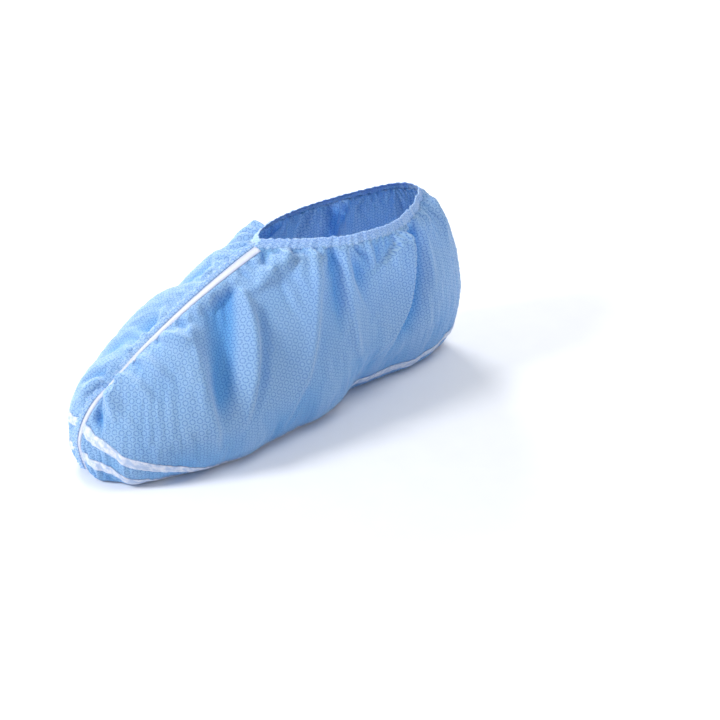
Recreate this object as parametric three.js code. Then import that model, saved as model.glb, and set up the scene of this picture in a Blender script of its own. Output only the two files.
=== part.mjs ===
import * as THREE from 'three';

// A disposable shoe cover of thin nonwoven cloth, standing open as it does over a shoe.
// Millimetres. The toe points along -Y, the heel along +Y, and the sole lies on z = 0.
//
// The cloth is one surface with two coordinates. "along" runs round each side from the toe's
// centre (0) to the heel's centre (1). "down" runs from the top line (0) over the widest line
// (0.5) and the sole's edge (0.7) to the middle of the sole (1).

// Driving dimensions
const LENGTH = 319;
const TOE_Y = -163;
const CLOTH = 1.2;
const GAP = 0.3;
const TREAD = 0.8;
const TREAD_WIDTH = 7;
const TREAD_SPACING = 18;
const TAPE_WIDTH = { instep: 5.6, toe: 3.4 };
const RUFFLE_WIDTH = { instep: 4, toe: 3 };
const SEAM_THICKNESS = 0.9;
const HEM_THICKNESS = 2.2;
const SOLE_Z = TREAD + GAP;

// How blunt the two ends of the outline are, as a share of the length and a power
const TOE_ROUND = { share: 0.24, power: 2.3 };
const HEEL_ROUND = { share: 0.20, power: 2.1 };
const SPINE_INSET = 45;
const WIDEST = 0.5;
const SOLE_EDGE = 0.7;

// The instep seam climbs from the toe to the notch, where the ankle opening starts
const NOTCH = 0.47;
const SEAM_PACE = 1.15;

// The cloth's top line round the ankle, and the top of the hem that stands on it
const RIM = { front: -19.5, back: 129, widen: 3, frontZ: 125, backZ: 124.5 };
const HEM = { front: -14, back: 125, widen: 0, frontZ: 129.5, backZ: 130 };

// Each side of that opening: its half width, how pointed it is towards the notch and towards
// the heel (2 is a straight wedge, under 1 is blunt), and how far it dips halfway
const OPENING_SIDES = [
  { side: 1, half: 37.5, notchPower: 2.1, heelPower: 2.1, dip: -1.5 },
  { side: -1, half: 31, notchPower: 1.2, heelPower: 0.5, dip: 3.5 },
];

// Facets: columns from toe to heel on each side, rows from the top line to the outer tread
const COLUMNS = 52;
const NOTCH_COLUMN = 24;
const SIDE_ROWS = 10;
const SAMPLES = 120;

// The last column before the notch lies this share of a column short of it, and the first row
// is this far from the top line, so that the strips beside the seam end on whole facets
const SEAM_STOP = 0.6;
const SEAM_ROW_REACH = 6;

// Cross sections from toe to heel: share of the length, half width and height of the widest
// line, how far inside that line the sole's edge lies, and how full the belly under it is
const SECTIONS = [
  { share: 0.00, half: 52, height: 26, tuck: 7, belly: 2.0 },
  { share: 0.10, half: 56, height: 30, tuck: 18, belly: 2.0 },
  { share: 0.25, half: 62, height: 36, tuck: 21, belly: 2.0 },
  { share: 0.40, half: 61, height: 42, tuck: 22, belly: 1.9 },
  { share: 0.55, half: 57, height: 46, tuck: 25, belly: 1.7 },
  { share: 0.66, half: 51, height: 50, tuck: 29, belly: 1.2 },
  { share: 0.76, half: 45, height: 48, tuck: 22, belly: 1.2 },
  { share: 0.88, half: 43, height: 48, tuck: 19, belly: 1.4 },
  { share: 1.00, half: 43, height: 52, tuck: 19, belly: 1.8 },
];

// How far the middle of the outer tread lies from the sole's middle, round the cloth
const TREAD_LINE = [
  { along: 0.00, outer: 40 },
  { along: 0.10, outer: 54 },
  { along: 0.20, outer: 56 },
  { along: 0.35, outer: 47 },
  { along: 0.60, outer: 40 },
  { along: 1.00, outer: 37 },
];

// The instep seam on the centre plane
const SEAM = [
  { y: -138, z: 58 },
  { y: -118, z: 74 },
  { y: -96, z: 88 },
  { y: -66, z: 104.5 },
  { y: -37, z: 118 },
  { y: -19.5, z: 125 },
];

// How full each side is above the widest line: 2 is an ellipse, less is more like a tent
const CROWN = [
  { along: 0.00, plus: 1.60, minus: 1.60 },
  { along: 0.20, plus: 1.70, minus: 1.75 },
  { along: 0.45, plus: 1.62, minus: 1.90 },
  { along: 0.70, plus: 1.80, minus: 1.90 },
  { along: 1.00, plus: 1.62, minus: 1.62 },
];

// Main folds, each a line of three [along, down] points on one side (+1 is +X), with the
// half width and the height of its ridge; a negative height is a valley
const FOLDS = [
  { side: 1, line: [[0.365, 0.08], [0.347, 0.26], [0.318, 0.43]], half: 10, height: -6.0 },
  { side: 1, line: [[0.278, 0.13], [0.297, 0.31], [0.310, 0.50]], half: 9, height: 3.0 },
  { side: 1, line: [[0.390, 0.12], [0.388, 0.27], [0.345, 0.45]], half: 7, height: 4.5 },
  { side: 1, line: [[0.495, 0.03], [0.480, 0.13], [0.410, 0.15]], half: 7, height: 3.0 },
  { side: 1, line: [[0.485, 0.02], [0.465, 0.09], [0.430, 0.10]], half: 6, height: -2.8 },
  { side: 1, line: [[0.418, 0.20], [0.405, 0.34], [0.375, 0.50]], half: 7, height: -2.2 },
  { side: 1, line: [[0.545, 0.03], [0.510, 0.23], [0.438, 0.54]], half: 9, height: 3.6 },
  { side: 1, line: [[0.570, 0.03], [0.550, 0.17], [0.530, 0.34]], half: 7, height: -3.2 },
  { side: 1, line: [[0.590, 0.04], [0.558, 0.30], [0.555, 0.50]], half: 7, height: 2.6 },
  { side: 1, line: [[0.605, 0.03], [0.575, 0.17], [0.580, 0.30]], half: 6, height: -2.6 },
  { side: 1, line: [[0.670, 0.06], [0.650, 0.26], [0.590, 0.50]], half: 13, height: 5.5 },
  { side: 1, line: [[0.725, 0.05], [0.700, 0.30], [0.630, 0.54]], half: 10, height: -5.5 },
  { side: 1, line: [[0.780, 0.03], [0.745, 0.23], [0.735, 0.42]], half: 9, height: 3.2 },
  { side: 1, line: [[0.930, 0.03], [0.850, 0.15], [0.825, 0.32]], half: 9, height: 2.8 },
  { side: 1, line: [[0.085, 0.12], [0.143, 0.21], [0.188, 0.28]], half: 7, height: 2.4 },
  { side: 1, line: [[0.140, 0.08], [0.185, 0.17], [0.228, 0.25]], half: 7, height: 2.2 },
  { side: 1, line: [[0.022, 0.18], [0.060, 0.26], [0.092, 0.34]], half: 7, height: -2.6 },
  { side: -1, line: [[0.390, 0.06], [0.365, 0.25], [0.330, 0.46]], half: 9, height: -4.5 },
  { side: -1, line: [[0.425, 0.06], [0.415, 0.22], [0.385, 0.46]], half: 8, height: 3.2 },
  { side: -1, line: [[0.335, 0.06], [0.315, 0.24], [0.290, 0.44]], half: 8, height: 2.8 },
  { side: -1, line: [[0.540, 0.03], [0.500, 0.22], [0.450, 0.50]], half: 9, height: 3.6 },
  { side: -1, line: [[0.580, 0.03], [0.545, 0.20], [0.510, 0.42]], half: 7, height: -3.2 },
  { side: -1, line: [[0.660, 0.04], [0.620, 0.25], [0.560, 0.50]], half: 11, height: 4.8 },
  { side: -1, line: [[0.710, 0.04], [0.670, 0.26], [0.620, 0.52]], half: 9, height: -4.4 },
  { side: -1, line: [[0.770, 0.03], [0.735, 0.24], [0.700, 0.44]], half: 9, height: 3.2 },
  { side: -1, line: [[0.890, 0.03], [0.850, 0.16], [0.825, 0.34]], half: 9, height: 2.6 },
  { side: -1, line: [[0.120, 0.09], [0.165, 0.18], [0.205, 0.28]], half: 8, height: 2.2 },
  { side: -1, line: [[0.040, 0.16], [0.075, 0.24], [0.105, 0.34]], half: 7, height: -2.4 },
];
const FOLD_STEPS = 12;
const FOLD_END = 0.18;

// Where the folds fade out: down from the top line, down above the sole's edge, and beside
// the seam in millimetres
const FOLD_FADE = { top: [0, 0.06], sole: [0.04, 0.16], seam: [2, 14] };

// Row numbers: the top line, the treads' edges, and the middle of the sole
const OUTER_ROW = SIDE_ROWS + 1;
const INNER_ROW = OUTER_ROW + 3;
const ROWS = INNER_ROW + 3;

const CLOTH_BLUE = new THREE.MeshStandardMaterial({ color: 0x9cc3ea, roughness: 0.85 });
const HEM_BLUE = new THREE.MeshStandardMaterial({ color: 0xaecfee, roughness: 0.85 });
const TAPE_WHITE = new THREE.MeshStandardMaterial({ color: 0xeef0f8, roughness: 0.7 });
const RUFFLE_BLUE = new THREE.MeshStandardMaterial({ color: 0xc6ddf4, roughness: 0.85 });
const TREAD_WHITE = new THREE.MeshStandardMaterial({ color: 0xe9eaf2, roughness: 0.55 });

// Smooth value of one column of a table, with no overshoot between its rows
function lookUp(table, place, value, at) {
  const width = (k) => table[k + 1][place] - table[k][place];
  const slope = (k) => (table[k + 1][value] - table[k][value]) / width(k);
  const last = table.length - 1;
  const tangent = (k) => {
    if (k === 0) return slope(0);
    if (k === last) return slope(last - 1);
    const before = slope(k - 1);
    const after = slope(k);
    return before * after <= 0 ? 0 : (2 * before * after) / (before + after);
  };
  let k = 0;
  while (k < last - 1 && at > table[k + 1][place]) k += 1;
  const s = THREE.MathUtils.clamp((at - table[k][place]) / width(k), 0, 1);
  const ease = s * s * (3 - 2 * s);
  const values = (1 - ease) * table[k][value] + ease * table[k + 1][value];
  const tangents = s * (1 - s) * ((1 - s) * tangent(k) - s * tangent(k + 1));
  return values + width(k) * tangents;
}

// The cloth without its folds

function roundedEnd(share, end) {
  const a = Math.min(share / end.share, 1);
  return (1 - (1 - a) ** end.power) ** (1 / end.power);
}

function lengthShare(along) {
  return (1 - Math.cos(Math.PI * along)) / 2;
}

function widestLine(along) {
  const share = lengthShare(along);
  const ends = roundedEnd(share, TOE_ROUND) * roundedEnd(1 - share, HEEL_ROUND);
  return {
    x: lookUp(SECTIONS, 'share', 'half', share) * ends,
    y: TOE_Y + LENGTH * share,
    z: lookUp(SECTIONS, 'share', 'height', share),
    tuck: lookUp(SECTIONS, 'share', 'tuck', share),
    belly: lookUp(SECTIONS, 'share', 'belly', share),
    share,
  };
}

function soleEdge(along) {
  const step = 1e-4;
  const before = widestLine(Math.max(along - step, 0));
  const after = widestLine(Math.min(along + step, 1));
  const length = Math.hypot(after.x - before.x, after.y - before.y);
  const here = widestLine(along);
  return {
    x: Math.max(here.x - (here.tuck * (after.y - before.y)) / length, 0),
    y: here.y + (here.tuck * (after.x - before.x)) / length,
  };
}

// A point of the opening's loop on one side, above the same share of the widest line
function loopPoint(loop, along, side) {
  const shape = OPENING_SIDES.find((row) => row.side === side);
  const notch = lengthShare(NOTCH);
  const turn = THREE.MathUtils.clamp((lengthShare(along) - notch) / (1 - notch), 0, 1);
  const middle = 2 * Math.sqrt(turn * (1 - turn));
  const power = shape.notchPower + (shape.heelPower - shape.notchPower) * turn;
  return new THREE.Vector3(
    (shape.half + loop.widen) * middle ** power,
    loop.front + (loop.back - loop.front) * turn,
    loop.frontZ + (loop.backZ - loop.frontZ) * turn - shape.dip * middle,
  );
}

function topLine(along, side) {
  if (along > NOTCH) return loopPoint(RIM, along, side);
  const first = SEAM[0].y;
  const y = first + (SEAM[SEAM.length - 1].y - first) * (along / NOTCH) ** SEAM_PACE;
  return new THREE.Vector3(0, y, lookUp(SEAM, 'y', 'z', y));
}

function clothPoint(along, down, side) {
  const wide = widestLine(along);
  const edge = soleEdge(along);
  const top = topLine(along, side);
  const point = new THREE.Vector3();
  if (down <= WIDEST) {
    const angle = (down / WIDEST) * (Math.PI / 2);
    const power = 2 / lookUp(CROWN, 'along', side === 1 ? 'plus' : 'minus', along);
    const out = Math.sin(angle) ** power;
    const up = Math.max(Math.cos(angle), 0) ** power;
    point.copy(top).lerp(new THREE.Vector3(wide.x, wide.y, 0), out);
    point.z = wide.z + (top.z - wide.z) * up;
  } else if (down <= SOLE_EDGE) {
    const angle = ((down - WIDEST) / (SOLE_EDGE - WIDEST)) * (Math.PI / 2);
    const out = Math.max(Math.cos(angle), 0) ** (2 / wide.belly);
    const drop = Math.sin(angle) ** (2 / wide.belly);
    point.set(edge.x, edge.y, 0).lerp(new THREE.Vector3(wide.x, wide.y, 0), out);
    point.z = wide.z + (SOLE_Z - wide.z) * drop;
  } else {
    const inward = (down - SOLE_EDGE) / (1 - SOLE_EDGE);
    const spineY = TOE_Y + SPINE_INSET + (LENGTH - 2 * SPINE_INSET) * wide.share;
    point.set(edge.x * (1 - inward), edge.y + (spineY - edge.y) * inward, SOLE_Z);
  }
  point.x *= side;
  return point;
}

// The grid: where its columns and rows lie on the cloth

function alongOf(column) {
  if (column <= NOTCH_COLUMN) return NOTCH * Math.min(column / (NOTCH_COLUMN - SEAM_STOP), 1);
  return NOTCH + ((1 - NOTCH) * (column - NOTCH_COLUMN)) / (COLUMNS - NOTCH_COLUMN);
}

// The place where a running total, one value per sample of down, reaches a target
function downWhere(totals, target) {
  let k = 1;
  while (k < SAMPLES && totals[k] < target) k += 1;
  const step = totals[k] - totals[k - 1] || 1;
  return (k - 1 + THREE.MathUtils.clamp((target - totals[k - 1]) / step, 0, 1)) / SAMPLES;
}

// Rows of one column. The treads keep their distance from the sole's middle, measured round
// the cloth across its length, so they climb where the sole is narrow. The other rows are
// even along the cloth.
function rowsOf(along, side) {
  const lengths = [0];
  const girths = [0];
  let previous = clothPoint(along, 0, side);
  for (let k = 1; k <= SAMPLES; k += 1) {
    const point = clothPoint(along, k / SAMPLES, side);
    lengths.push(lengths[k - 1] + point.distanceTo(previous));
    girths.push(girths[k - 1] + Math.hypot(point.x - previous.x, point.z - previous.z));
    previous = point;
  }
  const atGirth = (fromMiddle) => downWhere(girths, girths[SAMPLES] - fromMiddle);
  const treadEdges = (middle) => [middle + TREAD_WIDTH / 2, middle - TREAD_WIDTH / 2].map(atGirth);
  const middle = lookUp(TREAD_LINE, 'along', 'outer', along);
  const outer = treadEdges(middle);
  const inner = treadEdges(middle - TREAD_SPACING);
  const outerLength = lengths[Math.floor(outer[0] * SAMPLES)];
  const rows = [0];
  for (let k = 0; k < SIDE_ROWS; k += 1) {
    const reach = SEAM_ROW_REACH + ((outerLength - SEAM_ROW_REACH) * k) / SIDE_ROWS;
    rows.push(downWhere(lengths, reach));
  }
  rows.push(outer[0], outer[1], (outer[1] + inner[0]) / 2, inner[0], inner[1], (inner[1] + 1) / 2, 1);
  return rows;
}

// Columns and rows that both sides share, because they lie on the centre plane
function isShared(column, row) {
  return column === 0 || column === COLUMNS || row === ROWS || (row === 0 && column <= NOTCH_COLUMN);
}

function numberVertices() {
  const numbers = new Map();
  const places = [];
  for (const side of [1, -1]) {
    for (let column = 0; column <= COLUMNS; column += 1) {
      const rows = rowsOf(alongOf(column), side);
      for (let row = 0; row <= ROWS; row += 1) {
        const key = `${side}/${column}/${row}`;
        if (side === -1 && isShared(column, row)) {
          numbers.set(key, numbers.get(`1/${column}/${row}`));
        } else {
          numbers.set(key, places.length);
          places.push({ side, column, row, along: alongOf(column), down: rows[row] });
        }
      }
    }
  }
  return { numberOf: (side, column, row) => numbers.get(`${side}/${column}/${row}`), places };
}

const { numberOf, places } = numberVertices();

// Facets of the outer face. The seam turns down the toe at the first cell, which is split
// towards that corner so that the strips beside the seam can follow it.
function gridFaces() {
  const faces = [];
  for (const side of [1, -1]) {
    for (let column = 0; column < COLUMNS; column += 1) {
      for (let row = 0; row < ROWS; row += 1) {
        const a = numberOf(side, column, row);
        const b = numberOf(side, column + 1, row);
        const c = numberOf(side, column + 1, row + 1);
        const d = numberOf(side, column, row + 1);
        const cell = column === 0 && row === 0 ? [[a, d, c], [a, c, b]] : [[a, d, b], [b, d, c]];
        faces.push(...(side === 1 ? cell : cell.map(([p, q, r]) => [p, r, q])));
      }
    }
  }
  return faces;
}

function vertexNormals(points, faces) {
  const normals = points.map(() => new THREE.Vector3());
  for (const [a, b, c] of faces) {
    const ab = points[b].clone().sub(points[a]);
    const normal = ab.cross(points[c].clone().sub(points[a]));
    for (const k of [a, b, c]) normals[k].add(normal);
  }
  return normals.map((normal) => normal.normalize());
}

// Folds

function foldPath(fold) {
  const [start, middle, end] = fold.line;
  const path = [];
  for (let k = 0; k <= FOLD_STEPS; k += 1) {
    const s = k / FOLD_STEPS;
    const [along, down] = [0, 1].map((axis) => {
      const bend = 2 * middle[axis] - (start[axis] + end[axis]) / 2;
      return (1 - s) ** 2 * start[axis] + 2 * s * (1 - s) * bend + s ** 2 * end[axis];
    });
    path.push(clothPoint(along, down, fold.side));
  }
  return path;
}

function foldHeight(point, fold, path) {
  let nearest = Infinity;
  let share = 0;
  const closest = new THREE.Vector3();
  for (let k = 0; k < FOLD_STEPS; k += 1) {
    const piece = new THREE.Line3(path[k], path[k + 1]);
    piece.closestPointToPoint(point, true, closest);
    const distance = closest.distanceTo(point);
    if (distance < nearest) {
      nearest = distance;
      share = (k + piece.closestPointToPointParameter(point, true)) / FOLD_STEPS;
    }
  }
  const fromEnd = Math.min(share, 1 - share);
  const ends = THREE.MathUtils.smoothstep(fromEnd, 0, FOLD_END);
  return fold.height * Math.exp(-((nearest / fold.half) ** 2)) * ends;
}

// The top line, the seams and the sole keep their place
function foldRoom(place, point) {
  const fromTop = THREE.MathUtils.smoothstep(place.down, ...FOLD_FADE.top);
  const fromSole = THREE.MathUtils.smoothstep(SOLE_EDGE - place.down, ...FOLD_FADE.sole);
  const fromSeam = THREE.MathUtils.smoothstep(Math.abs(point.x), ...FOLD_FADE.seam);
  return fromTop * fromSole * fromSeam;
}

function foldedCloth(faces) {
  const points = places.map((place) => clothPoint(place.along, place.down, place.side));
  const normals = vertexNormals(points, faces);
  const paths = FOLDS.map(foldPath);
  return points.map((point, k) => {
    let height = 0;
    FOLDS.forEach((fold, number) => {
      if (fold.side === places[k].side) height += foldHeight(point, fold, paths[number]);
    });
    return point.clone().addScaledVector(normals[k], height * foldRoom(places[k], point));
  });
}

const FACES = gridFaces();
const CLOTH_POINTS = foldedCloth(FACES);
const CLOTH_NORMALS = vertexNormals(CLOTH_POINTS, FACES);

// Solids

function solid(name, points, faces, material) {
  let volume = 0;
  for (const [a, b, c] of faces) {
    volume += points[a].dot(points[b].clone().cross(points[c]));
  }
  const outward = volume > 0 ? faces : faces.map(([a, b, c]) => [a, c, b]);
  const geometry = new THREE.BufferGeometry().setFromPoints(points);
  geometry.setIndex(outward.flat());
  geometry.computeVertexNormals();
  const mesh = new THREE.Mesh(geometry, material);
  mesh.name = name;
  return mesh;
}

// A bar through four-cornered sections, closed on itself or capped at both ends. Its second
// and fourth faces are split along the same diagonal as the cloth's facets, so a strip that
// lies on twisted cloth keeps its thickness and its gap.
function bar(name, sections, closed, material) {
  const faces = [];
  const spans = closed ? sections.length : sections.length - 1;
  for (let k = 0; k < spans; k += 1) {
    const here = 4 * k;
    const next = 4 * ((k + 1) % sections.length);
    for (let corner = 0; corner < 4; corner += 1) {
      const other = (corner + 1) % 4;
      if (corner === 1) {
        faces.push([here + corner, here + other, next + corner], [here + other, next + other, next + corner]);
      } else {
        faces.push([here + corner, here + other, next + other], [here + corner, next + other, next + corner]);
      }
    }
  }
  if (!closed) {
    const last = 4 * (sections.length - 1);
    faces.push([0, 2, 1], [0, 3, 2], [last, last + 1, last + 2], [last, last + 2, last + 3]);
  }
  return solid(name, sections.flat(), faces, material);
}

// Both faces of the cloth, joined by a wall round the ankle opening
function coverBody() {
  const count = CLOTH_POINTS.length;
  const inward = (point, k) => point.clone().addScaledVector(CLOTH_NORMALS[k], -CLOTH);
  const inner = CLOTH_POINTS.map(inward);
  const faces = [...FACES, ...FACES.map(([a, b, c]) => [a + count, c + count, b + count])];
  const loop = openingLoop().map(({ side, column }) => numberOf(side, column, 0));
  loop.forEach((here, k) => {
    const next = loop[(k + 1) % loop.length];
    faces.push([here, next, next + count], [here, next + count, here + count]);
  });
  return solid('cover_body', [...CLOTH_POINTS, ...inner], faces, CLOTH_BLUE);
}

// Columns round the ankle opening: from the notch along +X to the heel and back along -X
function openingLoop() {
  const loop = [];
  for (let column = NOTCH_COLUMN; column <= COLUMNS; column += 1) loop.push({ side: 1, column });
  for (let column = COLUMNS - 1; column > NOTCH_COLUMN; column -= 1) loop.push({ side: -1, column });
  return loop;
}

// The hem stands on the top line and leans inwards
function openingHem() {
  const loop = openingLoop().map(({ side, column }) => {
    const foot = loopPoint(RIM, alongOf(column), side).multiply(new THREE.Vector3(side, 1, 1));
    const head = loopPoint(HEM, alongOf(column), side).multiply(new THREE.Vector3(side, 1, 1));
    return { foot: foot.add(new THREE.Vector3(0, 0, GAP)), head };
  });
  const sections = loop.map(({ foot, head }, k) => {
    const before = loop[(k + loop.length - 1) % loop.length].foot;
    const after = loop[(k + 1) % loop.length].foot;
    const across = new THREE.Vector3(after.y - before.y, before.x - after.x, 0);
    across.setLength(HEM_THICKNESS / 2);
    return [
      foot.clone().add(across),
      foot.clone().sub(across),
      head.clone().sub(across),
      head.clone().add(across),
    ];
  });
  return bar('opening_hem', sections, true, HEM_BLUE);
}

// A point of the cloth with its normal, a share of the way between two grid vertices
function between(from, to, share) {
  return {
    point: CLOTH_POINTS[from].clone().lerp(CLOTH_POINTS[to], share),
    normal: CLOTH_NORMALS[from].clone().lerp(CLOTH_NORMALS[to], share).normalize(),
  };
}

// A strip that lies on the cloth between two rails, off it by the gap
function strip(name, rails, thickness, material) {
  const sections = rails.map(([left, right]) => [
    left.point.clone().addScaledVector(left.normal, GAP),
    left.point.clone().addScaledVector(left.normal, GAP + thickness),
    right.point.clone().addScaledVector(right.normal, GAP + thickness),
    right.point.clone().addScaledVector(right.normal, GAP),
  ]);
  return bar(name, sections, false, material);
}

// A tread stripe runs the length of the sole between two rows, and stops beside both seams
function treadStripe(name, side, row) {
  const toeShare = 0.72;
  const heelShare = 0.5;
  const rails = [];
  const rail = (from, to, share) => [row, row + 1].map((edge) =>
    between(numberOf(side, from, edge), numberOf(side, to, edge), share));
  rails.push(rail(0, 1, toeShare));
  for (let column = 1; column < COLUMNS; column += 1) rails.push(rail(column, column, 0));
  rails.push(rail(COLUMNS - 1, COLUMNS, heelShare));
  return strip(name, rails, TREAD, TREAD_WHITE);
}

// The tape and the ruffle lie on each side of the seam: down the instep along the top row,
// then down the toe along the first column, as far as the sole's edge
function seamStrip(name, side, width, material) {
  const toeRows = INNER_ROW;
  const rails = [];
  const rail = (from, to) => {
    const reach = CLOTH_POINTS[from].distanceTo(CLOTH_POINTS[to]);
    const climb = CLOTH_POINTS[from].z / SEAM[SEAM.length - 1].z;
    const here = width.toe + (width.instep - width.toe) * climb;
    const inner = between(from, to, GAP / Math.abs(CLOTH_POINTS[to].x));
    inner.normal.setX(0).normalize();
    return [inner, between(from, to, Math.min(here / reach, 1))];
  };
  for (let column = NOTCH_COLUMN - 1; column > 0; column -= 1) {
    rails.push(rail(numberOf(side, column, 0), numberOf(side, column, 1)));
  }
  rails.push(rail(numberOf(side, 0, 0), numberOf(side, 1, 1)));
  for (let row = 1; row <= toeRows; row += 1) {
    rails.push(rail(numberOf(side, 0, row), numberOf(side, 1, row)));
  }
  return strip(name, rails, SEAM_THICKNESS, material);
}

const shoeCover = new THREE.Group();
shoeCover.add(
  coverBody(),
  openingHem(),
  seamStrip('seam_tape', 1, TAPE_WIDTH, TAPE_WHITE),
  seamStrip('seam_ruffle', -1, RUFFLE_WIDTH, RUFFLE_BLUE),
  treadStripe('tread_outer_plus', 1, OUTER_ROW),
  treadStripe('tread_inner_plus', 1, INNER_ROW),
  treadStripe('tread_outer_minus', -1, OUTER_ROW),
  treadStripe('tread_inner_minus', -1, INNER_ROW),
);

// The origin is the middle of the base of the whole cover's box
const box = new THREE.Box3().setFromObject(shoeCover);
const centre = box.getCenter(new THREE.Vector3());
for (const mesh of shoeCover.children) mesh.geometry.translate(-centre.x, -centre.y, -box.min.z);

export default shoeCover;
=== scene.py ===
import math

import bmesh
import bpy
import numpy as np
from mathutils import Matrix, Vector
from mathutils.bvhtree import BVHTree


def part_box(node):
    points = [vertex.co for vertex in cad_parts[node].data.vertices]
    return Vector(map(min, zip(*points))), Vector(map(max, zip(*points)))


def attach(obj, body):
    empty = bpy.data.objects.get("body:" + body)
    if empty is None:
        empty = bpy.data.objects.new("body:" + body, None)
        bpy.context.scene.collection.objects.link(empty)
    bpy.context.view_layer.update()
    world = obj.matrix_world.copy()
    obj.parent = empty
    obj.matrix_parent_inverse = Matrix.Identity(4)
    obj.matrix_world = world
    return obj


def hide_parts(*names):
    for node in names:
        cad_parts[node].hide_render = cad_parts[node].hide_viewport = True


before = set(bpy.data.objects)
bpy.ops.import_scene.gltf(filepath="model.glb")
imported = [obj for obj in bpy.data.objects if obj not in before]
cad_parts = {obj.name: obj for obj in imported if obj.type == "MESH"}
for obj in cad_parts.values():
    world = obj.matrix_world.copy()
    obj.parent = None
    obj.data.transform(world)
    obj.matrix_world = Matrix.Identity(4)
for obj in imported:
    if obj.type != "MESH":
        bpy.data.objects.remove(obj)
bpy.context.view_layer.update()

# A disposable shoe cover of spunbond nonwoven, filled out as it is over a shoe. Shapes are
# worked out in millimetres in the cover's own coordinates: "along" runs round each side from
# the toe's centre (0) to the heel's centre (1), and "down" from the top line (0) over the
# widest line (0.5) and the sole's edge (0.7) to the middle of the sole (1).

MM = 0.001
SEED = 11

# ---------------------------------------------------------------- the cover's form, in mm

LENGTH = 319
TOE_Y = -163
SOLE_Z = 0.7
SPINE_INSET = 45
WIDEST = 0.5
SOLE_EDGE = 0.7
NOTCH = 0.47
SEAM_END = 0.635
SEAM_PACE = 1.15
TOE_ROUND = {"share": 0.24, "power": 2.3}
HEEL_ROUND = {"share": 0.20, "power": 2.1}
HEM_THICKNESS = 2.2
RIM = {"front": -19.5, "back": 129, "widen": 3, "front_z": 125, "back_z": 124.5}
HEM = {"front": -14, "back": 125, "widen": 0, "front_z": 129.5, "back_z": 130}
OPENING_SIDES = {
    1: {"half": 37.5, "notch_power": 2.1, "heel_power": 2.1, "dip": -1.5},
    -1: {"half": 31, "notch_power": 1.2, "heel_power": 0.5, "dip": 3.5},
}
SECTIONS = {
    "share": (0, 0.10, 0.25, 0.40, 0.55, 0.66, 0.76, 0.88, 1),
    "half": (52, 56, 62, 61, 57, 51, 45, 43, 43),
    "height": (26, 30, 36, 42, 46, 50, 48, 48, 52),
    "tuck": (7, 18, 21, 22, 25, 29, 22, 19, 19),
    "belly": (2, 2, 2, 1.9, 1.7, 1.2, 1.2, 1.4, 1.8),
}
SEAM = {
    "y": (-138, -118, -96, -66, -37, -19.5),
    "z": (58, 74, 88, 104.5, 118, 125),
}
CROWN = {
    "along": (0, 0.20, 0.45, 0.70, 1),
    1: (1.60, 1.70, 1.62, 1.80, 1.62),
    -1: (1.60, 1.75, 1.90, 1.90, 1.62),
}
TREAD_LINE = {
    "along": (0, 0.10, 0.20, 0.35, 0.60, 1),
    "outer": (40, 54, 56, 47, 36, 33),
}
TREAD_SPACING = 18
TREAD_WIDTH = 7

# The cloth's grid on each side, with its columns closer together round the ankle opening
COLUMNS = 300
NOTCH_COLUMN = 130
SIDE_ROWS = 66
SOLE_ROWS = 15
ROWS = SIDE_ROWS + SOLE_ROWS
ROW_CROWDING = 1.12
SAMPLES = 200


def look_up(table, place, value, at):
    """Smooth value of one column of a table, with no overshoot between its rows."""
    x, y = np.array(table[place], float), np.array(table[value], float)
    step = np.diff(x)
    slope = np.diff(y) / step
    tangent = np.zeros(len(x))
    before, after = slope[:-1], slope[1:]
    same = before * after > 0
    tangent[1:-1][same] = 2 * before[same] * after[same] / (before[same] + after[same])
    tangent[0], tangent[-1] = slope[0], slope[-1]
    k = np.clip(np.searchsorted(x, at, side="right") - 1, 0, len(x) - 2)
    s = np.clip((at - x[k]) / step[k], 0, 1)
    start = (2 * s**3 - 3 * s**2 + 1) * y[k] + (s**3 - 2 * s**2 + s) * step[k] * tangent[k]
    end = (3 * s**2 - 2 * s**3) * y[k + 1] + (s**3 - s**2) * step[k] * tangent[k + 1]
    return start + end


def smooth_step(value, low, high):
    """From 0 at low to 1 at high, with no corners."""
    s = np.clip((value - low) / (high - low), 0, 1)
    return s * s * (3 - 2 * s)


def length_share(along):
    """How far along the cover, from toe to heel, a place round the side lies."""
    return (1 - np.cos(np.pi * along)) / 2


def rounded_end(share, end):
    """How much of its width the cover has near a rounded end."""
    a = np.minimum(share / end["share"], 1)
    return (1 - (1 - a) ** end["power"]) ** (1 / end["power"])


def widest_line(along):
    """Where the side is widest: how far out, how far back, and that as a share."""
    share = length_share(along)
    ends = rounded_end(share, TOE_ROUND) * rounded_end(1 - share, HEEL_ROUND)
    return look_up(SECTIONS, "share", "half", share) * ends, TOE_Y + LENGTH * share, share


def sole_edge(along):
    """The edge of the flat sole, tucked in under the widest line."""
    step = 1e-4
    x0, y0, _ = widest_line(np.maximum(along - step, 0))
    x1, y1, _ = widest_line(np.minimum(along + step, 1))
    length = np.hypot(x1 - x0, y1 - y0)
    x, y, share = widest_line(along)
    tuck = look_up(SECTIONS, "share", "tuck", share)
    return np.maximum(x - tuck * (y1 - y0) / length, 0), y + tuck * (x1 - x0) / length


def opening_loop(loop, along, side):
    """One side of a loop round the ankle opening, from notch to heel."""
    shape = OPENING_SIDES[side]
    notch = length_share(NOTCH)
    turn = np.clip((length_share(along) - notch) / (1 - notch), 0, 1)
    middle = 2 * np.sqrt(turn * (1 - turn))
    power = shape["notch_power"] + (shape["heel_power"] - shape["notch_power"]) * turn
    x = (shape["half"] + loop["widen"]) * np.maximum(middle, 1e-9) ** power
    y = loop["front"] + (loop["back"] - loop["front"]) * turn
    z = loop["front_z"] + (loop["back_z"] - loop["front_z"]) * turn - shape["dip"] * middle
    return np.stack([x, y, z], -1)


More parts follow.
